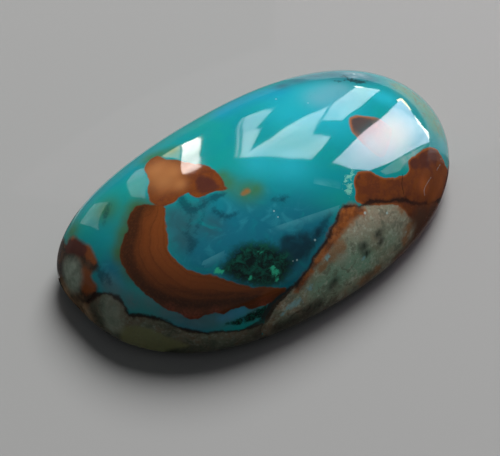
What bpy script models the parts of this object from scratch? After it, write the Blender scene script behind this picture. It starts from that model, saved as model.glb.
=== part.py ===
"""A high-domed freeform cabochon of gem silica: one polished stone on a flat ground base.

Units are metres and +Z is up. The origin is the middle of the stone's plan, on the surface that the
stone rests on, and the long axis lies along X.
"""

import math

import bmesh
import bpy
from mathutils import Matrix, Vector

MM = 0.001

# Driving dimensions of the finished stone
LENGTH = 31.0 * MM
WIDTH = 17.6 * MM
HEIGHT = 8.8 * MM
SUBDIVISION_LEVELS = 2

# The girdle in plan, anticlockwise from the left tip. The cage is fitted to the sizes above.
GIRDLE = (
    (-15.7, 1.4),
    (-15.6, -1.9),
    (-13.6, -5.2),
    (-9.9, -7.9),
    (-4.8, -9.1),
    (0.6, -9.5),
    (6.0, -9.0),
    (10.5, -7.4),
    (14.2, -4.6),
    (15.9, -0.5),
    (14.7, 3.7),
    (11.0, 6.4),
    (6.0, 7.9),
    (0.8, 8.3),
    (-4.2, 8.2),
    (-8.8, 7.7),
    (-13.1, 6.6),
    (-15.8, 4.4),
)
APEX = (-0.4, 0.0)  # the dome's highest place, in the girdle's units
HALF_SEGMENT = math.pi / len(GIRDLE)

# Rings from the middle of the base, out to the girdle and up to the crown:
# share of the height, share of the girdle
RINGS = (
    (0.00, 0.40),
    (0.00, 0.80),
    (0.00, 0.94),
    (0.08, 1.00),
    (0.27, 1.00),
    (0.49, 0.955),
    (0.71, 0.84),
    (0.89, 0.655),
    (1.00, 0.41),
    (1.04, 0.15),
)

# A small flat ground low on the left front, by a point on it and its outward normal
FACET_POINT = (-12.62 * MM, -4.62 * MM, 1.8 * MM)
FACET_NORMAL = (-0.66, -0.74, 0.12)
FACET_CUTTER_SIDE = 8.0 * MM

STONE_COLOUR = (0.01, 0.33, 0.36, 1.0)
STONE_ROUGHNESS = 0.08


def clear_scene():
    for scene_object in list(bpy.data.objects):
        bpy.data.objects.remove(scene_object, do_unlink=True)


def new_collection(name):
    collection = bpy.data.collections.new(name)
    bpy.context.scene.collection.children.link(collection)
    return collection


def stone_material():
    material = bpy.data.materials.new("gem_silica")
    material.use_nodes = True
    shader = material.node_tree.nodes["Principled BSDF"]
    shader.inputs["Base Color"].default_value = STONE_COLOUR
    shader.inputs["Roughness"].default_value = STONE_ROUGHNESS
    shader.inputs["Metallic"].default_value = 0.0
    return material


def place_ring(face, height, share):
    """Moves the corners of a face onto the girdle, drawn in towards the apex, at one height."""
    apex = Vector(APEX)
    middle = face.calc_center_median()

    def turn_from_left(corner):
        turn = math.atan2(corner.co.y - middle.y, corner.co.x - middle.x)
        return (turn - math.pi + HALF_SEGMENT) % math.tau

    for corner, point in zip(sorted(face.verts, key=turn_from_left), GIRDLE):
        plan = apex + (Vector(point) - apex) * share
        corner.co = (plan.x * MM, plan.y * MM, height * HEIGHT)


def stone_cage():
    """The middle of the base, extruded outwards and then up through the rings of the dome."""
    bm = bmesh.new()
    bmesh.ops.create_circle(bm, cap_ends=True, segments=len(GIRDLE), radius=MM)
    bm.faces.ensure_lookup_table()
    base = bm.faces[0]
    end = base
    place_ring(end, *RINGS[0])
    for ring in RINGS[1:]:
        extruded = bmesh.ops.extrude_face_region(bm, geom=[end])
        if end is not base:
            bmesh.ops.delete(bm, geom=[end], context="FACES_ONLY")
        end = next(part for part in extruded["geom"] if isinstance(part, bmesh.types.BMFace))
        place_ring(end, *ring)
    bmesh.ops.recalc_face_normals(bm, faces=bm.faces)
    mesh = bpy.data.meshes.new("gem_silica")
    bm.to_mesh(mesh)
    bm.free()
    return mesh


def finished_box(stone):
    """The lowest and highest corners of the stone with its modifiers."""
    bpy.context.view_layer.update()
    shape = stone.evaluated_get(bpy.context.evaluated_depsgraph_get()).to_mesh()
    corners = [vert.co for vert in shape.vertices]
    low = Vector(min(corner[axis] for corner in corners) for axis in range(3))
    high = Vector(max(corner[axis] for corner in corners) for axis in range(3))
    return low, high


def fit_to_size(stone):
    """Stretches the cage until the rounded stone has its three driving sizes, centred on the origin."""
    low, high = finished_box(stone)
    size = high - low
    middle = Vector(((low.x + high.x) / 2, (low.y + high.y) / 2, low.z))
    stretch = Matrix.Diagonal((LENGTH / size.x, WIDTH / size.y, HEIGHT / size.z, 1.0))
    stone.data.transform(stretch @ Matrix.Translation(-middle))


def make_stone(collection):
    stone = bpy.data.objects.new("gem_silica", stone_cage())
    stone.data.materials.append(stone_material())
    stone.data.shade_smooth()
    collection.objects.link(stone)
    rounding = stone.modifiers.new("rounding", "SUBSURF")
    rounding.levels = SUBDIVISION_LEVELS
    rounding.render_levels = SUBDIVISION_LEVELS
    fit_to_size(stone)
    return stone


def make_facet_cutter(collection):
    """A block whose inner face lies in the facet's plane."""
    normal = Vector(FACET_NORMAL).normalized()
    mesh = bpy.data.meshes.new("facet_cutter")
    bm = bmesh.new()
    bmesh.ops.create_cube(bm, size=FACET_CUTTER_SIDE)
    bm.to_mesh(mesh)
    bm.free()
    cutter = bpy.data.objects.new("facet_cutter", mesh)
    cutter.location = Vector(FACET_POINT) + normal * FACET_CUTTER_SIDE / 2
    cutter.rotation_euler = normal.to_track_quat("Z", "Y").to_euler()
    cutter.hide_render = True
    cutter.display_type = "WIRE"
    collection.objects.link(cutter)
    return cutter


def grind_facet(stone, cutter):
    grinding = stone.modifiers.new("facet", "BOOLEAN")
    grinding.operation = "DIFFERENCE"
    grinding.solver = "EXACT"
    grinding.object = cutter


def main():
    clear_scene()
    stone = make_stone(new_collection("gem_silica_cabochon"))
    grind_facet(stone, make_facet_cutter(new_collection("cutters")))


main()
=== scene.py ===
import math

import bmesh
import bpy
import numpy as np
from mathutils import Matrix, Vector
from mathutils.bvhtree import BVHTree


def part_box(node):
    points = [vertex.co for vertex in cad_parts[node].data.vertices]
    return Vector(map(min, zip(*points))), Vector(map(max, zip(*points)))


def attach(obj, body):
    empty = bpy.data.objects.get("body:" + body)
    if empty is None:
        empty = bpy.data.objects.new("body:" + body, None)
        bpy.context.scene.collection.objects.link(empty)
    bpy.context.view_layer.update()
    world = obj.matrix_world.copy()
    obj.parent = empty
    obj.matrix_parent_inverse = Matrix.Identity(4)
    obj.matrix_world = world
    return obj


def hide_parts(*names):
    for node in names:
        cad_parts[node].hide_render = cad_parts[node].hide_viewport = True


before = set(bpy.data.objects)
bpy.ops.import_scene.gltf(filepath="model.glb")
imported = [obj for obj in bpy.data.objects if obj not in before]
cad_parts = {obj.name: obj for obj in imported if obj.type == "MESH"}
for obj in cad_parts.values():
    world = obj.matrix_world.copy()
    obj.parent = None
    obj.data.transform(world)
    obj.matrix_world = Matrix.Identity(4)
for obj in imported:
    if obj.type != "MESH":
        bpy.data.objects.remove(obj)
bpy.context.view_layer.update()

MM = 0.001
LOW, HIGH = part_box("gem_silica")
LENGTH, WIDTH, HEIGHT = (HIGH - LOW) / MM
LOW_WAIST = 2.0          # mm, the height at which the stone is widest

# Camera: where it looks from, in degrees, and the lens on a 36 mm sensor
PHOTO_WIDTH, PHOTO_HEIGHT = 500, 456
VIEW_AZIMUTH = math.radians(-38)
VIEW_ELEVATION = math.radians(50)
VIEW_DISTANCE = 96 * MM
VIEW_TARGET = Vector((-3.28, -1.80, 4.0)) * MM
LENS, SENSOR = 100, 36

# The stone's cage in mm: the girdle in plan, anticlockwise from the left tip, and the rings that it is
# drawn into from the middle of the base up to the crown: share of the height, share of the girdle
GIRDLE = (
    (-15.7, 1.4), (-15.6, -1.9), (-13.6, -5.2), (-9.9, -7.9), (-4.8, -9.1), (0.6, -9.5),
    (6.0, -9.0), (10.5, -7.4), (14.2, -4.6), (15.9, -0.5), (14.7, 3.7), (11.0, 6.4),
    (6.0, 7.9), (0.8, 8.3), (-4.2, 8.2), (-8.8, 7.7), (-13.1, 6.6), (-15.8, 4.4),
)
APEX = Vector((-0.4, 0.0, 0.0))
CAGE_HEIGHT = 8.8
BASE_RING = 0.40
RINGS = (
    (0.00, 0.80), (0.00, 0.94), (0.08, 1.00), (0.27, 1.00), (0.49, 0.955),
    (0.71, 0.84), (0.89, 0.655), (1.00, 0.41),
)
CROWN_SPAN = 4           # faces across the crown's grid
CROWN_HEIGHT = 1.045     # share of the height at the apex, and how fast the crown falls from there
CROWN_FALL = 0.268
SMOOTHNESS = 4

# The small flat ground low on the left front, by a point on it and its outward normal
FACET_POINT = Vector((-12.62, -4.62, 1.8)) * MM
FACET_NORMAL = Vector((-0.66, -0.74, 0.12)).normalized()

# The stone's zones in pixels of the photo's frame. A zone that goes on out of sight continues with "round",
# points given as (degrees round the stone, height in mm), and then "under", (x, y) in mm on the base.
CRESCENT_OUTER = (
    (151, 205), (141, 204), (133, 210), (128, 219), (127, 230), (121, 244), (120, 255), (123, 266),
    (130, 278), (146, 294), (157, 303), (169, 310), (180, 315), (190, 318), (198, 319), (203, 316),
    (216, 313), (224, 315), (231, 310), (242, 306), (252, 309), (268, 305), (276, 298), (286, 288),
)
CRESCENT_INNER = (
    (163, 206), (166, 214), (165, 224), (167, 236), (168, 247), (173, 257), (181, 264), (190, 271),
    (203, 274), (218, 276), (229, 281), (247, 286), (266, 288), (286, 288),
)
OUTLINES = {
    "left_patch": (
        (152, 158), (158, 156), (166, 159), (178, 161), (190, 163), (202, 164), (212, 168), (219, 174),
        (223, 181), (224, 186), (229, 188.5), (224, 190), (214, 191), (207, 195), (199, 198), (192, 197),
        (188, 194), (180, 197), (172, 203), (162, 207), (154, 205), (149, 199), (148, 188), (148, 178),
        (144, 170), (147, 162),
    ),
    "patch_maroon": (
        (196, 180), (201, 176), (208, 178), (215, 182), (218, 188), (212, 191), (203, 193), (198, 189),
    ),
    "top_patch": (
        (348.5, 119), (357, 115.5), (369, 117), (379, 119), (391, 128), (391, 140), (384, 156), (372, 152),
        (358.5, 139), (351, 130),
    ),
    "right_patch": {
        "seen": (
            (447, 168), (442, 158), (437, 150), (428, 147), (420, 152), (409, 159), (409, 168), (406, 174),
            (397, 178), (386, 178), (380, 175), (368, 172), (358, 172), (354, 178), (355, 190), (356, 202),
            (368, 205), (380, 205), (392, 204), (402, 207), (408, 216), (413, 227), (410, 240), (400, 251),
            (393, 259),
        ),
        "under": ((5.5, -7.2), (10.0, -5.6), (13.0, -2.6)),
        "round": ((-14, 1.0), (-20, 2.2)),
    },
    "matrix": {
        "seen": (
            (420, 204), (404, 200), (390, 201), (372, 202), (358, 206), (343, 206), (338, 216), (332, 230),
            (324, 244), (314, 258), (306, 272), (296, 284), (285, 294), (272, 306), (264, 322), (262, 333),
        ),
        "under": ((-5.5, -5.0), (2.0, -2.5), (9.0, -3.5), (11.5, -5.2)),
    },
    "lower_band": {
        "seen": (
            (262, 333), (264, 322), (245, 329), (222, 332), (196, 332), (180, 328), (164, 321), (146, 316),
            (130, 315), (125, 307), (118, 298), (104, 293), (94, 296), (86, 302), (78, 299),
        ),
        "round": ((178, 0.6),),
        "under": ((-12.0, 0.5), (-9.0, -3.5), (-5.5, -5.0)),
    },
    "left_ring": {
        "seen": (
            (82, 314), (91, 303), (97, 293), (97, 285), (91, 276), (96, 270), (98, 263), (93, 252), (89, 245),
            (80, 240), (72, 237), (65, 242),
        ),
        "round": ((162, 4.4), (157, 3.4), (156, 1.6), (164, 0.4)),
        "under": ((-12.5, 1.5),),
    },
    "back_rock": {
        "round": ((-4, 1.0), (2, 2.6), (12, 3.4), (22, 2.4), (31, 1.9), (42, 2.9), (52, 1.6), (60, 0.5)),
        "under": ((5.0, 5.0), (8.0, 0.5), (12.0, -1.5)),
    },
    "back_iron": {
        "round": (
            (96, 0.4), (99, 1.2), (105, 1.5), (110, 2.3), (115, 2.6), (120, 2.3), (125, 2.6), (131, 3.1),
            (135, 2.4), (140, 1.4), (147, 0.4),
        ),
        "under": ((-8.0, 4.5), (-4.0, 4.8)),
    },
    "left_eye": ((64, 263), (71, 259), (78, 262), (81, 272), (81, 282), (77, 290), (70, 291), (65, 281)),
    "low_eye": ((103, 301), (112, 298), (119, 304), (122, 316), (121, 329), (113, 333), (105, 322)),
    "olive_flat": (
        (124, 327), (136, 326), (150, 329), (164, 335), (178, 341), (190, 346), (170, 350), (146, 350),
        (128, 344), (120, 334),
    ),
    "malachite": (
        (222, 269), (228, 262), (234, 252), (242, 247), (254, 245), (268, 246), (280, 252), (290, 262),
        (288, 272), (280, 281), (268, 285), (254, 284), (240, 281), (230, 276),
    ),
}

# Ribbons of colour, as (x, y) pixels and a half width in mm
RIBBONS = {
    "dark_bands": (
        (
            (142, 208, 0.2), (135, 218, 0.35), (132, 232, 0.45), (128, 250, 0.42), (132, 268, 0.34),
            (146, 287, 0.26), (166, 299, 0.3), (186, 304, 0.32), (210, 304, 0.26), (232, 301, 0.22),
            (258, 297, 0.16),
        ),
        ((168, 286, 0.02), (182, 291, 0.06), (205, 295, 0.08), (238, 294, 0.06), (262, 292, 0.03)),
    ),
    "rust": ((
        (362, 211, 0.3), (350, 211, 0.55), (344, 218, 0.45), (337, 231, 0.38), (329, 244, 0.36),
        (320, 257, 0.22), (311, 270, 0.2), (303, 281, 0.28), (297, 290, 0.22),
    ),),
    "mint_vein": ((
        (353, 170, 0.12), (350, 176, 0.16), (347, 181, 0.22), (350, 186, 0.14), (348, 191, 0.2),
        (350, 197, 0.1),
    ),),
    "chips": (
        (
            (335, 80, 0.04), (340, 82, 0.1), (346, 80, 0.08), (351, 80, 0.26), (356, 81, 0.4), (360, 83, 0.2),
            (368, 80, 0.02),
        ),
        ((341, 75, 0.1), (345, 77, 0.16), (352, 79, 0.12)),
    ),
    "moss": (
        ((214, 210, 0.1), (222, 215, 0.2), (230, 216, 0.18), (237, 213, 0.06)),
        (
            (180, 197, 0.2), (184, 206, 0.3), (192, 211, 0.26), (200, 207, 0.26), (208, 201, 0.2),
            (222, 194, 0.14),
        ),
        ((274, 200, 0.04), (281, 199, 0.12), (288, 197, 0.04)),
        ((187, 234, 0.16), (192, 241, 0.34), (191, 251, 0.2)),
        ((95, 262, 0.1), (99, 270, 0.24), (102, 280, 0.12)),
        ((107, 276, 0.08), (109, 282, 0.16)),
        ((315, 238, 0.14), (323, 226, 0.24), (330, 214, 0.14)),
        ((196, 206, 0.06), (190, 220, 0.08), (188, 234, 0.06)),
        ((204, 212, 0.04), (198, 226, 0.08), (194, 238, 0.06)),
        ((108, 206, 0.2), (104, 224, 0.1)),
    ),
}

# Hair lines, in pixels
HAIR_LINES = {
    "healed_cracks": (
        ((257, 234), (278, 226), (308, 216), (341, 205)),
        ((200, 263), (218, 254), (226, 250)),
        ((341, 189), (312, 183)),
    ),
    "dark_crack": (((403, 172), (402, 184), (404, 197)),),
    "scratch": (((441, 163), (436, 171)), ((432, 176), (428, 182), (424, 190), (425, 196))),
}

# Soft spots, as (x, y) pixels and a radius in mm
SPOTS = {
    # light: pale spots of painted light, where the top is lit and where light shone through the stone glows
    "light": (
        (290, 112, 2), (316, 98, 2.8), (335, 120, 1.8), (290, 168, 1.7), (258, 163, 1.3), (388, 99, 0.8),
        (378, 96, 0.7), (443, 144, 0.9),
    ),
    "blue": ((222, 112, 1), (238, 103, 1.2), (256, 96, 1.3), (276, 91, 1.2)),
    "milk": ((340, 88, 0.9), (331, 93, 1.2), (320, 98, 1.1)),
    "deep": (
        (225, 234, 2.8), (262, 230, 2.8), (298, 224, 2.1), (200, 255, 1.6), (240, 265, 2.4), (290, 268, 2),
        (112, 270, 1.4), (192, 325, 1.5), (320, 234, 1.7),
    ),
    "slate": (
        (173, 216, 0.8), (176, 228, 0.9), (182, 241, 0.8), (187, 222, 0.8), (211, 226, 0.8), (197, 203, 0.7),
    ),
    "strip_grey": (
        (108, 284, 0.6), (115, 292, 0.7), (131, 301, 0.7), (150, 301, 0.7), (165, 312, 0.7), (180, 318, 0.8),
        (196, 321, 0.8), (210, 319, 0.8), (225, 317, 0.7), (254, 312, 0.6), (264, 308, 0.5),
    ),
    "olive": (
        (247, 192, 0.85), (256, 189, 0.5), (228, 184, 0.7), (222, 176, 0.5), (135, 208, 0.8), (124, 232, 0.7),
        (119, 252, 0.6), (72, 232, 0.8), (106, 210, 1), (150, 158, 0.8), (161, 154, 0.5), (172, 150, 0.5),
    ),
    "grey_edge": (
        (282, 86, 0.7), (299, 80, 0.9), (316, 76, 1), (332, 75, 1.1), (350, 76, 1.2), (368, 78, 0.9),
    ),
    "chalk": ((350, 73, 0.55), (361, 75, 0.5), (353, 77, 0.3), (405, 160, 0.4), (413, 153, 0.5)),
    # rind: the greenish-grey band along the top right rim, partly rind and partly a painted reflection of the
    # floor
    "rind_and_reflection": ((401, 88, 0.9), (412, 95, 1.1), (423, 105, 1.2), (432, 117, 1.2), (438, 129, 1)),
    "halo": (
        (152, 206, 0.8), (138, 207, 1.2), (126, 220, 1.3), (119, 238, 1.3), (120, 256, 1.2), (128, 272, 0.9),
    ),
    "cloud": (
        (296, 247, 0.9), (287, 239, 0.5), (306, 238, 0.6), (304, 252, 0.6), (284, 256, 0.7), (312, 244, 0.4),
        (318, 232, 0.4), (292, 262, 0.4),
    ),
    "mint": (
        (275, 273, 0.3), (272, 268, 0.2), (277, 280, 0.16), (217, 271, 0.26), (222, 272, 0.16),
        (251, 278, 0.18), (260, 252, 0.14),
    ),
    "crack_light": (
        (332, 208, 1.2), (306, 217, 1.2), (284, 225, 0.8), (214, 256, 0.8), (205, 261, 0.5), (331, 186, 0.8),
        (320, 184, 0.5),
    ),
    "strip_blue": ((241, 311, 0.55), (231, 315, 0.4), (222, 318, 0.3)),
    "strip_green": ((259, 313, 0.45), (249, 318, 0.42), (238, 322, 0.34), (265, 308, 0.25), (228, 324, 0.22)),
    "rock_green": ((350, 260, 1.6), (366, 262, 1.2), (338, 272, 1.4), (392, 236, 0.9), (320, 288, 1)),
    "rock_pale": (
        (365, 214, 0.35), (387, 214, 0.35), (375, 218, 1), (358, 230, 1.2), (342, 256, 0.7), (396, 224, 1.3),
    ),
    "rock_rust": (
        (346, 213, 0.6), (352, 216, 0.5), (342, 226, 0.55), (340, 247, 0.6), (331, 257, 0.5), (322, 268, 0.4),
        (402, 208, 0.45), (409, 226, 0.5), (405, 241, 0.45), (366, 279, 0.7), (377, 270, 0.5),
    ),
    # rock_dark_and_shade: the rock's dark spots, and from (318, 304) on a painted shade low on the front left
    "rock_dark_and_shade": (
        (379, 234, 0.45), (381, 242, 0.35), (363, 247, 0.5), (366, 254, 0.35), (335, 281, 0.45),
        (331, 287, 0.4), (318, 304, 0.8), (306, 313, 0.9), (292, 321, 0.9), (278, 328, 0.8),
    ),
    "rock_blue": (
        (310, 288, 0.34), (297, 302, 0.42), (289, 307, 0.32), (327, 257, 0.3), (364, 258, 0.22),
        (283, 314, 0.2),
    ),
    "low_brown": (
        (92, 304, 0.7), (95, 316, 0.8), (101, 331, 0.7), (170, 327, 0.5), (262, 328, 1), (272, 318, 0.6),
    ),
    # tan: a tan tone with a painted sheen on the left brown patch
    "tan": ((157, 170, 1.1), (164, 181, 0.9), (173, 172, 0.7), (180, 184, 0.5)),
    "maroon": (
        (366, 128, 0.9), (360, 123, 0.6), (433, 155, 0.7), (424, 160, 0.7), (414, 164, 0.5), (357, 175, 0.3),
    ),
    # warm: warmer orange along the right end, partly a painted highlight
    "warm_and_highlight": ((446, 172, 0.7), (441, 186, 1), (434, 199, 0.8), (424, 186, 0.7)),
    "burnt": (
        (418, 222, 1.2), (414, 240, 1.2), (404, 252, 1.2), (432, 212, 0.9), (394, 262, 1), (384, 272, 0.8),
    ),
    "ring_orange": (
        (87, 249, 0.45), (90, 255, 0.4), (94, 261, 0.25), (84, 272, 0.35), (88, 279, 0.55), (85, 287, 0.55),
        (92, 286, 0.45), (73, 238, 0.25),
    ),
    "ring_maroon": ((68, 248, 0.4), (73, 246, 0.5), (79, 248, 0.5), (83, 251, 0.35), (97, 299, 0.35)),
    "veiled": ((382, 150, 1.3), (390, 138, 1.1), (374, 145, 0.8), (391, 126, 0.8)),
    # end_painted_light: a lighter tan low on the left end, painted light
    "end_painted_light": ((66, 290, 0.6), (71, 299, 0.7), (79, 310, 0.7), (87, 319, 0.5)),
    "wide_seam": ((283, 296, 0.7), (274, 305, 0.8), (266, 316, 0.6)),
    "seam_ends": ((265, 329, 0.6), (262, 334, 0.5), (78, 300, 0.7), (69, 295, 0.8), (61, 281, 0.8)),
    "inner_light": ((158, 220, 0.9), (158, 238, 0.9), (163, 252, 0.8), (175, 264, 0.7), (195, 276, 0.6)),
    "red_fringe": ((184, 315, 0.4), (196, 316, 0.4), (170, 308, 0.3), (264, 304, 0.5), (215, 311, 0.3)),
    "orange": ((247, 191, 0.3), (243, 194, 0.2)),
}

# Pale dots with a clear edge, partly grains and partly painted glints, as (x, y) pixels and a radius in mm
SPECKS_AND_GLINTS = (
    (315, 240, 0.06), (297, 260, 0.05), (293, 261, 0.03), (274, 211, 0.04), (278, 217, 0.03), (276, 99, 0.04),
    (406, 232, 0.04), (354, 74, 0.09), (365, 213, 0.09), (387, 213, 0.08), (308, 103, 0.03), (441, 159, 0.03),
)

# Studio, with sizes in metres
FLOOR_SIZE = 3.0
FLOOR_COLOUR = (0.32, 0.32, 0.315, 1.0)
SKY_COLOUR = (0.93, 0.97, 1.0, 1.0)
SKY_STRENGTH = 0.10
KEY_TURN, KEY_RISE = 35, 52      # degrees: the way round the stone and the height that it shines from
KEY_DISTANCE = 0.6
KEY_SIZE = 0.35
KEY_POWER = 5.0

# Sheets on the floor round the stone that only its polish sees. Each has its shade, its start and end in
# degrees round the stone, and how large the hole round the stone is against the hole size.
SHEET_LENGTH, SHEET_WIDTH = 15.8, 9.3        # mm, the hole's half length and half width
SHEET_REACH = 80                             # the outer edge, in hole sizes
SHEET_RISE = 0.1                             # mm above the floor
SHEETS = (
    ("black_sheet", 0.01, -212, -28, 1.0),
    ("dark_sheet", 0.12, -28, -22, 1.0),
    ("left_sheet", 0.06, 118, 148, 1.2),
    ("grey_sheet", 0.08, 64, 118, 1.8),
)

# Window light that the dome reflects: brightness, tint and the reflection's outline in pixels
PANEL_DISTANCE = 220             # mm from the stone
COOL, PALE_VIOLET = (0.80, 0.92, 1.0, 1.0), (0.70, 0.76, 1.0, 1.0)
BRIGHT, WARM, DUSKY = (1.0, 0.98, 0.93, 1.0), (1.0, 0.78, 0.42, 1.0), (1.0, 0.86, 0.62, 1.0)
PEACH = (1.0, 0.82, 0.74, 1.0)
BLACK = (0.0, 0.0, 0.0, 1.0)
WINDOWS = (
    ("window_left_sash", 4.0, COOL, ((242.5, 118), (244, 117.5), (237.5, 158), (235.5, 157.5))),
    ("window_left", 5.0, COOL, (
        (247, 116.5), (272, 109.5), (256, 129), (260, 128.5), (248, 157), (240, 157.5),
    )),
    ("window_middle", 5.6, COOL, (
        (242, 157), (256, 147), (272, 138), (284, 129), (302, 118), (318, 111), (329, 106), (320, 120),
        (312, 134), (330, 137), (311, 160), (302, 158), (278, 156), (256, 156.5),
    )),
    ("window_middle_top", 4.4, COOL, (
        (331.5, 104.5), (344, 96), (356, 88), (380, 90.5), (362, 106), (342, 121), (322, 120),
    )),
    ("window_middle_sill", 11.0, BRIGHT, (
        (354, 87), (357, 86), (366, 88), (380, 89.5), (378, 91), (364, 89.5),
    )),
    ("window_right", 6.4, PALE_VIOLET, (
        (331, 163), (350, 169), (368, 171), (390, 162), (412, 150), (430, 141), (418, 124), (400, 100),
        (380, 120), (356, 138),
    )),
    ("window_right_edge", 15.0, BRIGHT, (
        (409, 112), (410.5, 111.5), (416.5, 119.5), (423, 128), (430, 135), (432, 139), (430, 141.5),
        (422, 139), (425, 134), (418, 124),
    )),
    ("window_right_corner", 15.0, WARM, ((397, 100.5), (401, 98), (411, 109.5), (409, 112))),
    ("window_small", 13.5, PEACH, (
        (181, 145), (197.5, 137.5), (200, 159), (200.5, 167), (191, 172), (183, 175), (181, 162),
    )),
    ("sill_small", 2.9, (1.0, 0.76, 0.38, 1.0), ((161, 156), (180, 145), (180, 160), (166, 158))),
    ("sill_right", 1.4, DUSKY, (
        (381, 171), (394, 162), (412, 152), (430, 143.5), (424, 148), (412, 156), (405, 164), (400, 172),
        (386, 176),
    )),
    ("far_window", 1.3, BRIGHT, ((126, 182), (136, 171), (144, 168), (149, 182), (146, 199), (132, 197))),
    ("far_sill", 1.0, BRIGHT, ((109, 201), (99, 230), (79, 223), (91, 205))),
)
# A glow within a window: its centre and a point on its edge in pixels, brightness and tint
GLOWS = {"window_right": ((387, 136), (403, 114), 13.0, (1.0, 0.68, 0.72, 1.0))}


def camera_axes():
    """The directions from the target back to the camera, to its right and upwards in its view."""
    flat = math.cos(VIEW_ELEVATION)
    back = Vector((math.sin(VIEW_AZIMUTH) * flat, -math.cos(VIEW_AZIMUTH) * flat, math.sin(VIEW_ELEVATION)))
    right = Vector((math.cos(VIEW_AZIMUTH), math.sin(VIEW_AZIMUTH), 0.0))
    return back, right, back.cross(right)


def camera_place():
    return VIEW_TARGET + camera_axes()[0] * VIEW_DISTANCE


def pixel_direction(x, y):
    """The direction in which the camera sees a pixel."""
    back, right, up = camera_axes()
    per_pixel = SENSOR / PHOTO_WIDTH / LENS
    across = (x - PHOTO_WIDTH / 2) * per_pixel
    upwards = (PHOTO_HEIGHT / 2 - y) * per_pixel
    return (right * across + up * upwards - back).normalized()


def add_camera():
    bpy.ops.object.camera_add(location=camera_place())
    camera = bpy.context.object
    camera.name = "photo_camera"
    camera.rotation_euler = camera_axes()[0].to_track_quat("Z", "Y").to_euler()
    camera.data.lens = LENS
    camera.data.sensor_width = SENSOR
    camera.data.clip_start = 1 * MM
    camera.data.clip_end = 20
    bpy.context.scene.camera = camera


# The stone, shaped in edit mode

def start_editing(obj):
    bpy.ops.object.select_all(action="DESELECT")
    obj.select_set(True)
    bpy.context.view_layer.objects.active = obj
    bpy.ops.object.mode_set(mode="EDIT")


def select_only(obj, kind, wanted):
    """Selects the vertices, edges or faces that wanted accepts, and nothing else."""
    bpy.context.tool_settings.mesh_select_mode = (kind == "verts", kind == "edges", kind == "faces")
    bpy.ops.mesh.select_all(action="DESELECT")
    shape = bmesh.from_edit_mesh(obj.data)
    for part in getattr(shape, kind):
        if wanted(part):
            part.select_set(True)
    shape.select_flush_mode()
    bmesh.update_edit_mesh(obj.data)


def move_corner(obj, start, end):
    """Moves the vertex that is nearest to start so that it lies at end."""
    corners = bmesh.from_edit_mesh(obj.data).verts
    nearest = min(corners, key=lambda corner: (corner.co - start).length)
    number = nearest.index
    step = end - nearest.co
    select_only(obj, "verts", lambda corner: corner.index == number)
    bpy.ops.transform.translate(value=step)


def lay_out_girdle(stone):
    """Moves the corners of the round disc onto the girdle, drawn in to the first ring of the base."""
    corners = [corner.co.copy() for corner in bmesh.from_edit_mesh(stone.data).verts]
    half_segment = math.pi / len(GIRDLE)

    def turn_from_left(corner):
        return (math.atan2(corner.y, corner.x) - math.pi + half_segment) % math.tau

    for corner, point in zip(sorted(corners, key=turn_from_left), GIRDLE):
        plan = APEX + (Vector((*point, 0.0)) - APEX) * BASE_RING
        move_corner(stone, corner, plan * MM)


def raise_rings(stone):
    """Extrudes the disc outwards along the base and then up to the crown, one ring at a time."""
    select_only(stone, "faces", lambda face: True)
    height, share = 0.0, BASE_RING
    for next_height, next_share in RINGS:
        lift = (next_height - height) * CAGE_HEIGHT * MM
        bpy.ops.mesh.extrude_region_move(TRANSFORM_OT_translate={"value": (0, 0, lift)})
        spread = next_share / share
        bpy.ops.transform.resize(value=(spread, spread, 1), center_override=APEX * MM)
        height, share = next_height, next_share


def close_crown(stone):
    """Opens the last face, still selected, and fills it with a grid that rises into a low crown."""
    bpy.ops.mesh.delete(type="ONLY_FACE")
    select_only(stone, "edges", lambda edge: edge.is_boundary)
    bpy.ops.mesh.fill_grid(span=CROWN_SPAN)
    grid = [corner.co.copy() for corner in bmesh.from_edit_mesh(stone.data).verts if corner.select]
    girdle = [Vector((*point, 0.0)) - APEX for point in GIRDLE]
    half_length = max(point.x for point in girdle) * MM
    half_width = max(point.y for point in girdle) * MM
    for corner in grid:
        away = corner - APEX * MM
        share = math.hypot(away.x / half_length, away.y / half_width)
        height = (CROWN_HEIGHT - CROWN_FALL * share ** 2) * CAGE_HEIGHT * MM
        if share < RINGS[-1][1] * 0.9:
            move_corner(stone, corner, Vector((corner.x, corner.y, height)))


def fit_to_frame(stone):
    """Stretches the rounded stone until it fills the box of the CAD node."""
    corners = np.array([corner.co for corner in stone.data.vertices])
    low, high = Vector(corners.min(axis=0)), Vector(corners.max(axis=0))
    stretch = [(HIGH[axis] - LOW[axis]) / (high[axis] - low[axis]) for axis in range(3)]
    start_editing(stone)
    select_only(stone, "verts", lambda corner: True)
    bpy.ops.transform.resize(value=stretch, center_override=low)
    bpy.ops.transform.translate(value=LOW - low)
    bpy.ops.object.mode_set(mode="OBJECT")


def grind_facet(stone):
    """Cuts the facet's outline into the surface and presses what stands proud of it flat."""
    start_editing(stone)
    select_only(stone, "faces", lambda face: True)
    bpy.ops.mesh.bisect(plane_co=FACET_POINT, plane_no=FACET_NORMAL)
    select_only(stone, "verts", lambda corner: (corner.co - FACET_POINT).dot(FACET_NORMAL) > 0)
    facet_axes = FACET_NORMAL.to_track_quat("Z", "Y").to_matrix()
    bpy.ops.transform.resize(value=(1, 1, 0), orient_matrix=facet_axes, orient_type="LOCAL",
                             orient_matrix_type="LOCAL", center_override=FACET_POINT)
    bpy.ops.object.mode_set(mode="OBJECT")


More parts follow.
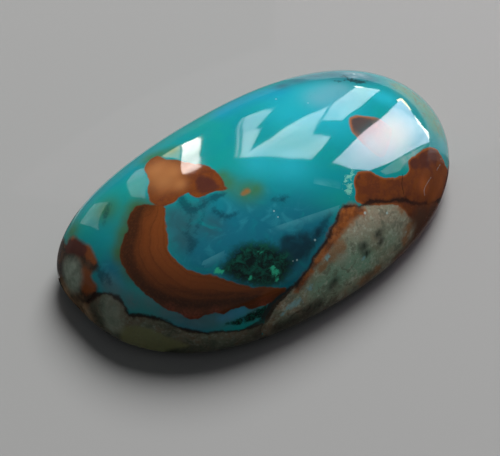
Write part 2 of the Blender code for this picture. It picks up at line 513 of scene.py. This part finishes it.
def make_stone():
    bpy.ops.object.select_all(action="DESELECT")
    bpy.ops.mesh.primitive_circle_add(vertices=len(GIRDLE), radius=MM, fill_type="NGON")
    stone = bpy.context.object
    stone.name = "polished_stone"
    start_editing(stone)
    lay_out_girdle(stone)
    raise_rings(stone)
    close_crown(stone)
    select_only(stone, "faces", lambda face: True)
    bpy.ops.mesh.normals_make_consistent(inside=False)
    bpy.ops.object.mode_set(mode="OBJECT")
    rounding = stone.modifiers.new("rounding", "SUBSURF")
    rounding.levels = SMOOTHNESS
    rounding.render_levels = SMOOTHNESS
    bpy.ops.object.modifier_apply(modifier=rounding.name)
    fit_to_frame(stone)
    grind_facet(stone)
    bpy.ops.object.shade_smooth()
    return stone


# Where the zones lie: each is stored on the stone's vertices as a number in mm or a strength from 0 to 1

class ZoneMap:
    """The stone's surface in mm, and the ways to draw zones on it."""

    STEP = 0.3       # mm between the points of a drawn line
    FAR = 99.0

    def __init__(self, stone):
        self.mesh = stone.data
        self.points = np.array([corner.co for corner in self.mesh.vertices]) / MM
        self.normals = np.array([corner.normal for corner in self.mesh.vertices])
        faces = [list(face.vertices) for face in self.mesh.polygons]
        self.tree = BVHTree.FromPolygons(self.points.tolist(), faces)
        self.camera = camera_place() / MM
        self.chart = self.unrolled(self.points)

    def unrolled(self, points):
        """Flat places for surface points: the dome spread out round its apex, and the base beyond it."""
        x, y, z = np.asarray(points).T
        long, wide = x / (LENGTH / 2), y / (WIDTH / 2)
        fall = np.arctan2(np.hypot(long, wide), (z - LOW_WAIST) / (HEIGHT - LOW_WAIST))
        turn = np.arctan2(wide, long)
        return np.stack((fall * np.cos(turn) * LENGTH, fall * np.sin(turn) * WIDTH), axis=1)

    def seen(self, x, y):
        """The place on the stone that the camera sees at a pixel, or the nearest one just off its edge."""
        direction = pixel_direction(x, y)
        place = self.tree.ray_cast(self.camera, direction)[0]
        if place is None:
            reach = (VIEW_TARGET / MM - self.camera).dot(direction)
            place = self.tree.find_nearest(self.camera + direction * reach)[0]
        return place

    def round(self, degrees, height):
        turn = math.radians(degrees)
        outwards = Vector((math.cos(turn), math.sin(turn), 0.0))
        return self.tree.ray_cast(outwards * LENGTH + Vector((0, 0, height)), -outwards)[0]

    def under(self, x, y):
        return self.tree.ray_cast(Vector((x, y, -HEIGHT)), Vector((0, 0, 1)))[0]

    def corners_of(self, outline):
        if not isinstance(outline, dict):
            outline = {"seen": outline}
        finders = {"seen": self.seen, "round": self.round, "under": self.under}
        return [finders[way](*corner) for way, corners in outline.items() for corner in corners]

    def line(self, corners, closed):
        """A smooth line on the stone through the corners, as an array of points."""
        count = len(corners)
        found = []
        for number in range(count if closed else count - 1):
            picks = [number - 1, number, number + 1, number + 2]
            picks = [pick % count if closed else min(max(pick, 0), count - 1) for pick in picks]
            before, start, end, after = (corners[pick] for pick in picks)
            steps = max(1, round((end - start).length / self.STEP))
            for step in range(steps):
                share = step / steps
                place = (start * 2 + (end - before) * share
                         + (before * 2 - start * 5 + end * 4 - after) * share ** 2
                         + (start * 3 - before - end * 3 + after) * share ** 3) / 2
                found.append(self.tree.find_nearest(place)[0])
        if not closed:
            found.append(corners[-1])
        return np.array(found)

    def beside(self, start, end):
        """Where each vertex is along a stretch, from 0 at its start to 1 at its end, and how far off in mm."""
        span = end - start
        away = self.points - start
        share = away @ span / max(span @ span, 1e-9)
        return share, np.linalg.norm(away - np.clip(share, 0, 1)[:, None] * span, axis=1)

    def gap(self, line, closed=False):
        """How far each vertex is from a line, in mm."""
        nearest = np.full(len(self.points), self.FAR)
        for start, end in zip(line, np.roll(line, -1, axis=0) if closed else line[1:]):
            nearest = np.minimum(nearest, self.beside(start, end)[1])
        return nearest

    def depth(self, outline):
        """How far each vertex is inside a closed outline, in mm, and below zero outside it."""
        line = self.line(self.corners_of(outline), closed=True)
        drawn = self.unrolled(line)
        across, up = self.chart.T
        inside = np.zeros(len(self.points), bool)
        for start, end in zip(drawn, np.roll(drawn, -1, axis=0)):
            if start[1] == end[1]:
                continue
            spans = (start[1] > up) != (end[1] > up)
            crossing = start[0] + (up - start[1]) / (end[1] - start[1]) * (end[0] - start[0])
            inside ^= spans & (across < crossing)
        return self.gap(line, closed=True) * np.where(inside, 1.0, -1.0)

    def ribbon(self, stations):
        """As depth, for a ribbon of changing half width."""
        centres = [self.seen(x, y) for x, y, half_width in stations]
        half_widths = np.array([half_width for x, y, half_width in stations])
        line = self.line(centres, closed=False)
        nearness = 1 / (np.linalg.norm(line[:, None] - np.array(centres), axis=2) + 0.05) ** 3
        half_widths = (nearness * half_widths).sum(axis=1) / nearness.sum(axis=1)
        inside = np.full(len(self.points), -self.FAR)
        for start, end, width, end_width in zip(line, line[1:], half_widths, half_widths[1:]):
            share, distance = self.beside(start, end)
            inside = np.maximum(inside, width + (end_width - width) * np.clip(share, 0, 1) - distance)
        return inside

    def ribbons(self, lines):
        return np.max([self.ribbon(stations) for stations in lines], axis=0)

    def offset(self, lines):
        """How far each vertex is to one side of the nearest line, in mm, below zero on the other side and far
        off past its ends. It changes evenly across a line, so that a thin line stays sharp."""
        nearest = np.full(len(self.points), self.FAR)
        side = np.ones(len(self.points))
        within = np.ones(len(self.points), bool)
        for pixels in lines:
            line = self.line([self.seen(*pixel) for pixel in pixels], closed=False)
            for number, (start, end) in enumerate(zip(line, line[1:])):
                share, distance = self.beside(start, end)
                closer = distance < nearest
                nearest[closer] = distance[closer]
                across = np.cross(end - start, self.points - start)
                side[closer] = np.sign((across * self.normals).sum(axis=1))[closer]
                past = ((share < 0) & (number == 0)) | ((share > 1) & (number == len(line) - 2))
                within[closer] = ~past[closer]
        return side * np.where(within, nearest, self.FAR)

    def spots(self, centres):
        """A strength from 0 to 1 that is highest in soft round spots."""
        clear = np.ones(len(self.points))
        for x, y, radius in centres:
            distance = np.linalg.norm(self.points - np.array(self.seen(x, y)), axis=1)
            clear *= 1 - np.exp(-(distance / radius) ** 2)
        return 1 - clear

    def store(self, name, values):
        attribute = self.mesh.attributes.new(name, "FLOAT", "POINT")
        attribute.data.foreach_set("value", np.clip(values, -9, 9).astype(np.float32))


def draw_zones(stone):
    zones = ZoneMap(stone)
    zones.store("crescent", zones.depth(CRESCENT_OUTER + CRESCENT_INNER[-2::-1]))
    outer, inner = (
        zones.gap(zones.line([zones.seen(*corner) for corner in side], closed=False))
        for side in (CRESCENT_OUTER, CRESCENT_INNER)
    )
    zones.store("crescent_across", outer / (outer + inner + 0.01))
    for measure, drawings in (
        (zones.depth, OUTLINES), (zones.ribbons, RIBBONS), (zones.offset, HAIR_LINES), (zones.spots, SPOTS),
    ):
        for name, drawing in drawings.items():
            zones.store(name, measure(drawing))
    zones.store("underside", -zones.normals[:, 2])
    return zones


# The stone's finish and its colours

def colour(red, green, blue):
    """A linear colour from the sRGB numbers, 0 to 255, that a colour picker shows."""
    parts = [part / 255 for part in (red, green, blue)]
    linear = [part / 12.92 if part < 0.04045 else ((part + 0.055) / 1.055) ** 2.4 for part in parts]
    return (*linear, 1.0)


TEAL = colour(6, 142, 152)
GREEN_TEAL = colour(12, 150, 144)
PALE_TURQUOISE = colour(34, 173, 192)
CLEAR_BLUE = colour(8, 148, 184)
DEEP_BLUE = colour(18, 112, 134)
MILKY_BLUE = colour(44, 144, 158)
MILKY_GREY = colour(128, 164, 178)
STRIP_SHADE = colour(74, 156, 190)
STRIP_MURK = colour(88, 124, 130)
SLATE_BLUE = colour(44, 92, 102)
OLIVE_TEAL = colour(62, 112, 62)
HALO_OLIVE = colour(66, 92, 54)
CLOUD_BLUE = colour(12, 38, 52)
MOSS_BLUE = colour(8, 56, 72)
MALACHITE_DARK = colour(4, 32, 30)
MALACHITE_GREEN = colour(12, 92, 76)
MINT = colour(50, 190, 150)
PALE_MINT = colour(122, 200, 182)
CRACK_GLOW = colour(90, 178, 188)
SPECK_AND_GLINT_WHITE = colour(200, 236, 236)
CHIP_DARK = colour(22, 58, 62)
RIND_AND_REFLECTION_GREY = colour(104, 146, 122)
RIND_AND_REFLECTION_BROWN = colour(122, 108, 78)
EDGE_GREY = colour(44, 106, 122)
CHALK = colour(140, 168, 178)
IRON_DARK = colour(58, 30, 13)
IRON_BROWN = colour(88, 45, 17)
IRON_MIDDLE = colour(102, 51, 27)
IRON_WARM = colour(122, 63, 24)
IRON_LIGHT = colour(146, 79, 36)
IRON_ORANGE = colour(166, 88, 36)
IRON_TAN_AND_SHEEN = colour(180, 120, 72)
IRON_RED = colour(132, 64, 42)
IRON_MAROON = colour(82, 42, 34)
IRON_BURNT = colour(92, 62, 43)
RUST_DARK = colour(122, 60, 22)
RUST_ORANGE = colour(176, 98, 34)
SEAM_BROWN = colour(38, 22, 15)
ROCK_GREY = colour(150, 156, 130)
ROCK_BEIGE = colour(170, 156, 130)
ROCK_GREEN = colour(138, 182, 154)
ROCK_PALE = colour(182, 172, 152)
ROCK_GRAIN = colour(200, 210, 188)
ROCK_BROWN = colour(134, 104, 74)
ROCK_RUST = colour(158, 100, 50)
PAINTED_LIGHT_TAN = colour(176, 146, 112)
ROCK_SHADE = colour(86, 98, 82)
ROCK_DARK_AND_SHADE = colour(32, 38, 34)
ROCK_BLUE = colour(146, 200, 204)
LOW_GREEN = colour(46, 56, 50)
LOW_DARK_AND_SHADE = colour(52, 44, 34)
OLIVE = colour(118, 120, 84)
EYE_GREEN = colour(168, 184, 166)
RING_BROWN = colour(92, 66, 46)
RING_DARK = colour(52, 42, 32)
SEAM_WIDTH, WIDE_SEAM_WIDTH = 0.10, 0.38     # mm, half widths of the dark seams round the grey rock
CRESCENT_BANDS = 9.0                         # the larger bands across the crescent

POLISH_ROUGHNESS, ROCK_ROUGHNESS, GROUND_ROUGHNESS = 0.05, 0.4, 0.45
BUMP_HEIGHT = 0.06 * MM
STONE_IOR = 1.54
TRANSLUCENCY, TRANSLUCENT_DEPTH = 0.3, 0.5 * MM


class Paint:
    """The nodes of one material. Each method adds nodes and returns what they put out. A value can be a
    number, a colour, what another node puts out or the name of a zone."""

    def __init__(self, name):
        self.material = bpy.data.materials.new(name)
        self.material.use_nodes = True
        self.tree = self.material.node_tree
        self.place = self.tree.nodes.new("ShaderNodeTexCoord").outputs["Object"]

    def feed(self, socket, value):
        if isinstance(value, str):
            value = self.node("ShaderNodeAttribute", {}, attribute_name=value).outputs["Fac"]
        if isinstance(value, bpy.types.NodeSocket):
            self.tree.links.new(value, socket)
        else:
            socket.default_value = value

    def node(self, kind, inputs, **settings):
        made = self.tree.nodes.new(kind)
        for name, value in settings.items():
            setattr(made, name, value)
        for name, value in inputs.items():
            self.feed(made.inputs[name], value)
        return made

    def finish(self, looks):
        """Gives the shader its looks, and returns the material."""
        for name, value in looks.items():
            self.feed(self.tree.nodes["Principled BSDF"].inputs[name], value)
        return self.material

    def noise(self, per_mm, detail=3.0, roughness=0.55, distortion=0.0):
        """Noise around 0.5, with this many of its largest lumps in a millimetre."""
        inputs = {"Vector": self.place, "Scale": per_mm / MM, "Detail": detail, "Roughness": roughness,
                  "Distortion": distortion}
        return self.node("ShaderNodeTexNoise", inputs).outputs["Fac"]

    def distance(self, centre):
        away = self.node("ShaderNodeVectorMath", {0: self.place, 1: centre}, operation="DISTANCE")
        return away.outputs["Value"]

    def math(self, operation, *values):
        return self.node("ShaderNodeMath", dict(enumerate(values)), operation=operation).outputs[0]

    def sum(self, total, *others):
        for other in others:
            total = self.math("ADD", total, other)
        return total

    def times(self, total, *others):
        for other in others:
            total = self.math("MULTIPLY", total, other)
        return total

    def size(self, value):
        return self.math("ABSOLUTE", value)

    def scaled(self, noise, size):
        """Noise of this size around zero, to add to another value."""
        return self.math("MULTIPLY_ADD", noise, size, -0.5 * size)

    def step(self, value, low, high):
        """0 below low and 1 above high, with a smooth change between. A high below low turns it round."""
        inputs = {"Value": value, "From Min": low, "From Max": high}
        return self.node("ShaderNodeMapRange", inputs, interpolation_type="SMOOTHSTEP").outputs["Result"]

    def frayed(self, value, noise, size, low, high):
        """A step whose edge is roughened by noise of this size."""
        return self.step(self.sum(value, self.scaled(noise, size)), low, high)

    def dots(self, zones, dots):
        """How far a place is inside the nearest of some round dots on the surface, in mm."""
        deepest = -zones.FAR
        for x, y, radius in dots:
            inside = self.math("MULTIPLY_ADD", self.distance(zones.seen(x, y) * MM), -1 / MM, radius)
            deepest = self.math("MAXIMUM", deepest, inside)
        return deepest

    def lay(self, colour, *layers):
        """Lays layers over a colour: each is a colour, and amounts whose product is how far it covers."""
        for over, *amounts in layers:
            inputs = {0: self.times(*amounts), 6: colour, 7: over}
            colour = self.node("ShaderNodeMix", inputs, data_type="RGBA").outputs[2]
        return colour

    def level(self, under, over, amount):
        """A number that goes from one level to another with the amount."""
        return self.node("ShaderNodeMix", {0: amount, 2: under, 3: over}, data_type="FLOAT").outputs[0]


class StonePaint(Paint):
    """Paint with the stone's own noises, and with ways to fill a zone and to line its edge."""

    def __init__(self, name):
        super().__init__(name)
        self.wobble = self.noise(1.4, 4, 0.6)
        self.fine = self.noise(6.0, 3, 0.6)
        self.ragged = self.sum(self.scaled(self.wobble, 0.5), self.scaled(self.fine, 0.16))
        self.wavy = self.sum(self.scaled(self.noise(1.1, 2, 0.5), 0.45), self.scaled(self.fine, 0.08))

    def cover(self, zone, softness=0.07, roughening=1.0):
        """1 within a zone and 0 outside it, with a wavy edge."""
        edge = self.sum(zone, self.times(self.wavy, roughening))
        return self.step(edge, self.times(softness, -1.0), softness)

    def rim(self, zone, width):
        """A thin line along the edge of a zone, within it and just outside it."""
        return self.step(self.size(self.sum(zone, self.wavy)), width, width * 0.3)


def chalcedony_colour(paint):
    """The blue-green body: milky on top with painted light and glow, deeper and bluer low in the middle, olive
    tints.
    """
    drift = paint.noise(0.22, 3, 0.5, 0.4)
    wisps = paint.noise(0.7, 4, 0.55, 0.8)
    flecks = paint.noise(1.8, 4, 0.7, 0.6)
    # rind, partly a painted reflection of the floor with its grain
    rind_and_reflection = paint.lay(RIND_AND_REFLECTION_GREY, (RIND_AND_REFLECTION_BROWN, paint.step(flecks, 0.5, 0.68)))
    thin = paint.step(wisps, 0.1, 0.5)
    return paint.lay(
        TEAL,
        (GREEN_TEAL, paint.step(drift, 0.3, 0.7)),
        # painted light: the lit top and the glow of light shone through the stone
        (PALE_TURQUOISE, "light", 0.75),
        (CLEAR_BLUE, "blue", 0.7),
        (MILKY_GREY, "milk", 0.45),
        (DEEP_BLUE, "deep", thin),
        (MILKY_BLUE, "deep", paint.step(wisps, 0.5, 0.72), 0.6),
        (SLATE_BLUE, "slate", paint.step(wisps, 0.15, 0.55), 0.9),
        (STRIP_MURK, "strip_grey", thin, 0.8),
        (OLIVE_TEAL, "olive", paint.step(wisps, 0.0, 0.5), 0.8),
        (PALE_TURQUOISE, paint.step(wisps, 0.55, 0.8), 0.12),
        (DEEP_BLUE, paint.step(wisps, 0.42, 0.2), 0.18),
        (EDGE_GREY, "grey_edge", thin, 0.85),
        (CHALK, "chalk", paint.step(flecks, 0.2, 0.6), 0.6),
        (rind_and_reflection, "rind_and_reflection", paint.step(flecks, 0.2, 0.5), 0.85),
        (HALO_OLIVE, "halo", paint.step(paint.sum("crescent", paint.ragged), -0.9, 0.2), 0.8),
    )


def inclusion_layers(paint):
    """Dark clouds, moss, malachite, the mint vein, chips, healed cracks and the strip below the crescent."""
    lumps = paint.noise(0.9, 5, 0.6, 0.6)
    feather = paint.noise(2.2, 6, 0.75, 0.5)
    branches = paint.noise(3.0, 4, 0.65, 1.2)
    moss = paint.sum("moss", paint.scaled(paint.fine, 0.5))
    tuft = paint.lay(MALACHITE_DARK, (MALACHITE_GREEN, paint.step(feather, 0.42, 0.66)))
    glow = paint.times(paint.step("healed_cracks", -0.7, 0.0), paint.step("healed_cracks", 0.05, 0.0))
    strip = paint.lay(MALACHITE_DARK, (MALACHITE_GREEN, paint.step(paint.fine, 0.4, 0.65)))
    in_strip = paint.sum("strip_green", paint.scaled(paint.fine, 0.6))
    return (
        (CLOUD_BLUE, paint.frayed("cloud", lumps, 1.4, 0.15, 1.05), 0.85),
        (MOSS_BLUE, paint.frayed(moss, lumps, 0.8, -0.22, 0.22), 0.65),
        (tuft, paint.frayed("malachite", feather, 1.6, -0.5, 0.25)),
        (MINT, paint.frayed("mint", feather, 1.6, 0.35, 0.75)),
        (PALE_MINT, paint.frayed("mint_vein", branches, 1.5, -0.02, 0.12), 0.9),
        (CHIP_DARK, paint.frayed("chips", branches, 1.5, -0.02, 0.14), 0.9),
        (CRACK_GLOW, "crack_light", glow, paint.step(lumps, 0.2, 0.6), 0.4),
        (STRIP_SHADE, "strip_blue", 0.8),
        (strip, paint.frayed(in_strip, paint.wobble, 1.4, 0.3, 0.7)),
    )


def rock_colour(paint):
    """The mottled grey-green host rock, darker near the base: partly its own colour, partly painted shade."""
    blotches = paint.noise(0.55, 5, 0.65, 0.8)
    clots = paint.noise(1.1, 5, 0.7, 0.5)
    grains = paint.noise(3.6, 4, 0.7)
    beige = paint.step(blotches, 0.4, 0.6)
    cells = paint.node("ShaderNodeTexVoronoi", {"Vector": paint.place, "Scale": 2.4 / MM}).outputs["Distance"]
    height = paint.node("ShaderNodeSeparateXYZ", {"Vector": paint.place}).outputs["Z"]
    return paint.lay(
        ROCK_GREY,
        (ROCK_BEIGE, beige),
        (ROCK_BROWN, beige, paint.step(clots, 0.5, 0.62), 0.6),
        (ROCK_GREEN, "rock_green", paint.step(clots, 0.2, 0.55)),
        (ROCK_PALE, "rock_pale", 0.6),
        (ROCK_GRAIN, paint.frayed(grains, paint.wobble, 0.6, 0.53, 0.72), 0.6),
        (ROCK_GRAIN, paint.step(cells, 0.42, 0.12), paint.step(clots, 0.4, 0.6), 0.45),
        (ROCK_SHADE, paint.frayed(clots, grains, 0.3, 0.52, 0.36), 0.5),
        (ROCK_RUST, paint.frayed("rock_rust", clots, 1.8, 0.1, 0.9), 0.7),
        # the rock's dark spots, with painted shade low on the front left
        (ROCK_DARK_AND_SHADE, paint.frayed("rock_dark_and_shade", clots, 1.8, 0.1, 1.2), 0.9),
        (ROCK_BLUE, paint.frayed("rock_blue", paint.fine, 1.6, 0.3, 0.9), 0.85),
        # darker near the base: partly the rock's own colour, partly painted shade
        (LOW_DARK_AND_SHADE, paint.frayed(height, clots, 2.4 * MM, 2.8 * MM, 0.4 * MM), 0.8),
    )


def rock_layers(paint, in_matrix):
    """The low green band in front of the rock, the rock, and rust where it meets the blue."""
    rock = rock_colour(paint)
    in_band = paint.step(paint.sum("lower_band", paint.ragged), -0.1, 0.1)
    in_rock = paint.step(paint.sum(in_band, in_matrix), 0.0, 1.0)
    rust = paint.lay(RUST_DARK, (RUST_ORANGE, paint.step(paint.wobble, 0.4, 0.65)))
    return (
        (paint.lay(rock, (LOW_GREEN, 0.6)), in_band),
        (OLIVE, paint.cover("olive_flat", 0.22, 0.6), paint.step(paint.fine, 0.1, 0.5), 0.85),
        (rock, in_matrix),
        (rock, paint.cover("back_rock")),
        (rust, paint.step(paint.sum("rust", paint.ragged), -0.25, 0.2), 0.9),
        (SEAM_BROWN, "low_brown", in_rock, paint.step(paint.wobble, 0.1, 0.7), 0.65),
    )


def patch_colour(paint):
    """The brown patches: orange-brown, with tan, maroon and burnt places."""
    spot = paint.frayed("patch_maroon", paint.fine, 0.4, -0.2, 0.12)
    clouds = paint.frayed("maroon", paint.wobble, 0.6, 0.2, 0.75)
    return paint.lay(
        IRON_WARM,
        (IRON_MIDDLE, paint.step(paint.wobble, 0.35, 0.65)),
        (IRON_LIGHT, paint.step(paint.fine, 0.5, 0.75), 0.25),
        # tan, with a painted sheen
        (IRON_TAN_AND_SHEEN, "tan", 0.85),
        (IRON_MAROON, paint.sum(spot, clouds), 0.85),
        # warmer orange at the right end, partly a painted highlight
        (IRON_ORANGE, "warm_and_highlight", paint.step(paint.wobble, 0.1, 0.6), 0.9),
        (IRON_BURNT, paint.frayed("burnt", paint.wobble, 0.5, 0.15, 0.85), 0.8),
    )


def patch_layers(paint):
    """The brown patches, and the brown ring at the left end with its pale eyes."""
    patch = patch_colour(paint)
    ring = paint.lay(
        RING_BROWN,
        (RING_DARK, paint.step(paint.wobble, 0.6, 0.4)),
        (IRON_LIGHT, paint.frayed("ring_orange", paint.fine, 0.8, 0.1, 0.8), 0.8),
        (IRON_MAROON, paint.frayed("ring_maroon", paint.wobble, 0.6, 0.15, 0.7), 0.9),
    )
    eye = paint.lay(EYE_GREEN, (ROCK_SHADE, paint.step(paint.wobble, 0.6, 0.3), 0.5))
    unveiled = paint.level(1.0, 0.1, "veiled")
    unburnt = paint.level(1.0, -0.6, "burnt")
    top_patch = paint.lay(patch, (IRON_ORANGE, paint.rim("top_patch", 0.26), unveiled, unveiled))
    right_patch = paint.lay(patch, (IRON_LIGHT, paint.rim("right_patch", 0.2), unburnt))
    return (
        (patch, paint.cover("back_iron")),
        (ring, paint.cover("left_ring", 0.22, 0.8)),
        (eye, paint.cover("left_eye", 0.5, 0.8), 0.9),
        (eye, paint.cover("low_eye", 0.6, 1.2), 0.45),
        (patch, paint.cover("left_patch")),
        (top_patch, paint.cover("top_patch", 0.10, 0.6), unveiled, 0.9),
        (right_patch, paint.cover("right_patch", paint.level(0.05, 0.7, "burnt"))),
    )


def seam_layers(paint):
    """A tan painted light low on the left end, and the dark seams along the edges of the rock and the low
    band.
    """
    edges = [paint.size(paint.sum(zone, paint.ragged)) for zone in ("matrix", "lower_band")]
    half_width = paint.level(SEAM_WIDTH, WIDE_SEAM_WIDTH, "wide_seam")
    beyond = paint.sum(paint.math("MINIMUM", *edges), paint.times(half_width, -1.0))
    seam = paint.frayed(beyond, paint.noise(0.8, 2), 0.5, 0.14, -0.10)
    return (
        # painted light in tan, low on the left end
        (PAINTED_LIGHT_TAN, "end_painted_light", paint.step(paint.wobble, 0.1, 0.6), 0.8),
        (SEAM_BROWN, seam, paint.level(0.9, 0.2, "burnt"), paint.level(1.0, 0.1, "seam_ends")),
    )


def crescent_colour(paint):
    """Brown iron-stained silica in soft bands that follow the crescent, darkest along its outer side."""
    across = paint.sum("crescent_across", paint.scaled(paint.wobble, 0.1))
    inputs = {"W": paint.times(across, CRESCENT_BANDS), "Scale": 1.0, "Detail": 3.0}
    bands = paint.node("ShaderNodeTexNoise", inputs, noise_dimensions="1D").outputs["Fac"]
    return paint.lay(
        IRON_BROWN,
        (IRON_WARM, paint.step(across, 0.0, 0.8)),
        (IRON_LIGHT, "inner_light", 0.08),
        (IRON_DARK, paint.step(bands, 0.55, 0.25), 0.35),
        (IRON_DARK, paint.frayed("dark_bands", paint.wobble, 0.25, -0.30, 0.22), 0.8),
        (IRON_RED, "red_fringe", paint.step(paint.fine, 0.3, 0.6)),
        (IRON_LIGHT, paint.step(paint.fine, 0.45, 0.75), 0.15),
    )


def fine_mark_layers(paint, zones):
    """The orange spot in the blue, the dark crack, the scratch and the bright specks, partly painted glints.
    """
    off_crack = paint.size(paint.sum("dark_crack", paint.times(paint.ragged, 0.4)))
    scratch = paint.times(paint.step(paint.size("scratch"), 0.05, 0.01), paint.step(paint.fine, 0.3, 0.6))
    specks = paint.step(paint.dots(zones, SPECKS_AND_GLINTS), -0.04, 0.02)
    return (
        (RUST_ORANGE, paint.frayed("orange", paint.fine, 0.5, 0.2, 1.2), 0.75),
        (SEAM_BROWN, paint.step(off_crack, 0.07, 0.02), 0.6),
        # bright specks, partly painted glints
        (SPECK_AND_GLINT_WHITE, paint.sum(paint.times(specks, 0.6), paint.times(scratch, 0.35))),
    )


def polished_silica(zones):
    paint = StonePaint("polished_silica")
    softness = paint.level(0.05, 0.6, "burnt")
    in_matrix = paint.step(paint.sum("matrix", paint.ragged), paint.times(softness, -1.0), softness)
    body = paint.lay(
        chalcedony_colour(paint),
        *inclusion_layers(paint),
        *rock_layers(paint, in_matrix),
        *patch_layers(paint),
        *seam_layers(paint),
        (crescent_colour(paint), paint.cover("crescent")),
        *fine_mark_layers(paint, zones),
    )
    rocky = paint.sum(in_matrix, paint.cover("back_rock", 0.15))
    polish = paint.level(POLISH_ROUGHNESS, paint.times(paint.fine, ROCK_ROUGHNESS), rocky)
    on_base = paint.step("underside", 0.5, 0.95)
    lumps = paint.sum(paint.scaled(paint.fine, 1.0), paint.scaled(paint.wobble, 0.6))
    rise = paint.times(lumps, paint.level(0.01, 1.0, rocky))
    bump = paint.node("ShaderNodeBump", {"Height": rise, "Strength": 0.35, "Distance": BUMP_HEIGHT})
    return paint.finish({
        "Base Color": body,
        "Roughness": paint.level(polish, GROUND_ROUGHNESS, on_base),
        "Normal": bump.outputs["Normal"],
        "IOR": STONE_IOR,
        "Subsurface Weight": TRANSLUCENCY,
        "Subsurface Radius": (0.5, 1.0, 1.0),
        "Subsurface Scale": TRANSLUCENT_DEPTH,
    })


# The studio

def add_floor():
    bpy.ops.mesh.primitive_plane_add(size=FLOOR_SIZE)
    floor = bpy.context.object
    floor.name = "studio_floor"
    floor.data.materials.append(Paint("pale_floor").finish({"Base Color": FLOOR_COLOUR, "Roughness": 0.9}))


def add_reflected(name, corners, faces, material):
    """A flat piece of the studio that shows only as a reflection in the stone's polish."""
    mesh = bpy.data.meshes.new(name)
    mesh.from_pydata(corners, [], faces)
    mesh.materials.append(material)
    piece = bpy.data.objects.new(name, mesh)
    bpy.context.scene.collection.objects.link(piece)
    piece.visible_camera = piece.visible_shadow = piece.visible_diffuse = False


def reflected_place(zones, x, y):
    """Where a panel's point is that shows as a reflection at this pixel."""
    direction = pixel_direction(x, y)
    place, normal = zones.tree.ray_cast(zones.camera, direction)[:2]
    return (place + direction.reflect(normal) * PANEL_DISTANCE) * MM


def add_panel(zones, name, strength, tint, outline):
    """A light panel of the shape that shows as this outline, in pixels, on the polished dome."""
    paint = Paint(name)
    clouds = paint.step(paint.noise(0.02, 4, 0.6, 0.6), 0.3, 0.7)
    light = paint.lay(tint, (BRIGHT, clouds, 0.3))
    power = paint.level(0.8 * strength, 1.2 * strength, clouds)
    if name in GLOWS:
        centre, edge, glow_strength, glow_tint = GLOWS[name]
        middle = reflected_place(zones, *centre)
        reach = (reflected_place(zones, *edge) - middle).length
        nearness = paint.step(paint.distance(middle), reach * 1.3, reach * 0.2)
        light = paint.lay(light, (glow_tint, nearness))
        power = paint.level(power, glow_strength, nearness)
    material = paint.finish({"Base Color": BLACK, "Emission Color": light, "Emission Strength": power})
    corners = [reflected_place(zones, *pixel) for pixel in outline]
    add_reflected(name, corners, [list(range(len(corners)))], material)


def add_sheet(name, shade, start, end, hole):
    """Keeps the pale floor's reflection off the stone's flanks."""
    turns = [math.radians(degrees) for degrees in range(start, end + 1, 2)]
    edge = [Vector((SHEET_LENGTH * math.cos(turn), SHEET_WIDTH * math.sin(turn), 0.0)) for turn in turns]
    rise = Vector((0.0, 0.0, SHEET_RISE))
    corners = [(point * size + rise) * MM for size in (hole, SHEET_REACH) for point in edge]
    count = len(edge)
    faces = [(step, step + 1, count + step + 1, count + step) for step in range(count - 1)]
    material = Paint(name).finish({"Base Color": (shade, shade, shade, 1.0), "Roughness": 1.0})
    add_reflected(name, corners, faces, material)


def add_key_light():
    turn, rise = math.radians(KEY_TURN), math.radians(KEY_RISE)
    towards = Vector((math.cos(turn) * math.cos(rise), math.sin(turn) * math.cos(rise), math.sin(rise)))
    bpy.ops.object.light_add(type="AREA", location=towards * KEY_DISTANCE)
    key = bpy.context.object
    key.name = "key_light"
    key.rotation_euler = towards.to_track_quat("Z", "Y").to_euler()
    key.data.shape = "DISK"
    key.data.size = KEY_SIZE
    key.data.energy = KEY_POWER
    key.visible_glossy = False


def light_world():
    world = bpy.data.worlds.new("studio")
    world.use_nodes = True
    sky = world.node_tree.nodes["Background"]
    sky.inputs["Color"].default_value = SKY_COLOUR
    sky.inputs["Strength"].default_value = SKY_STRENGTH
    bpy.context.scene.world = world


def main():
    stone = make_stone()
    zones = draw_zones(stone)
    stone.data.materials.append(polished_silica(zones))
    add_camera()
    add_floor()
    for sheet in SHEETS:
        add_sheet(*sheet)
    add_key_light()
    light_world()
    for window in WINDOWS:
        add_panel(zones, *window)
    bpy.context.scene.view_settings.view_transform = "Standard"
    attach(stone, "root")
    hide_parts("gem_silica")


main()
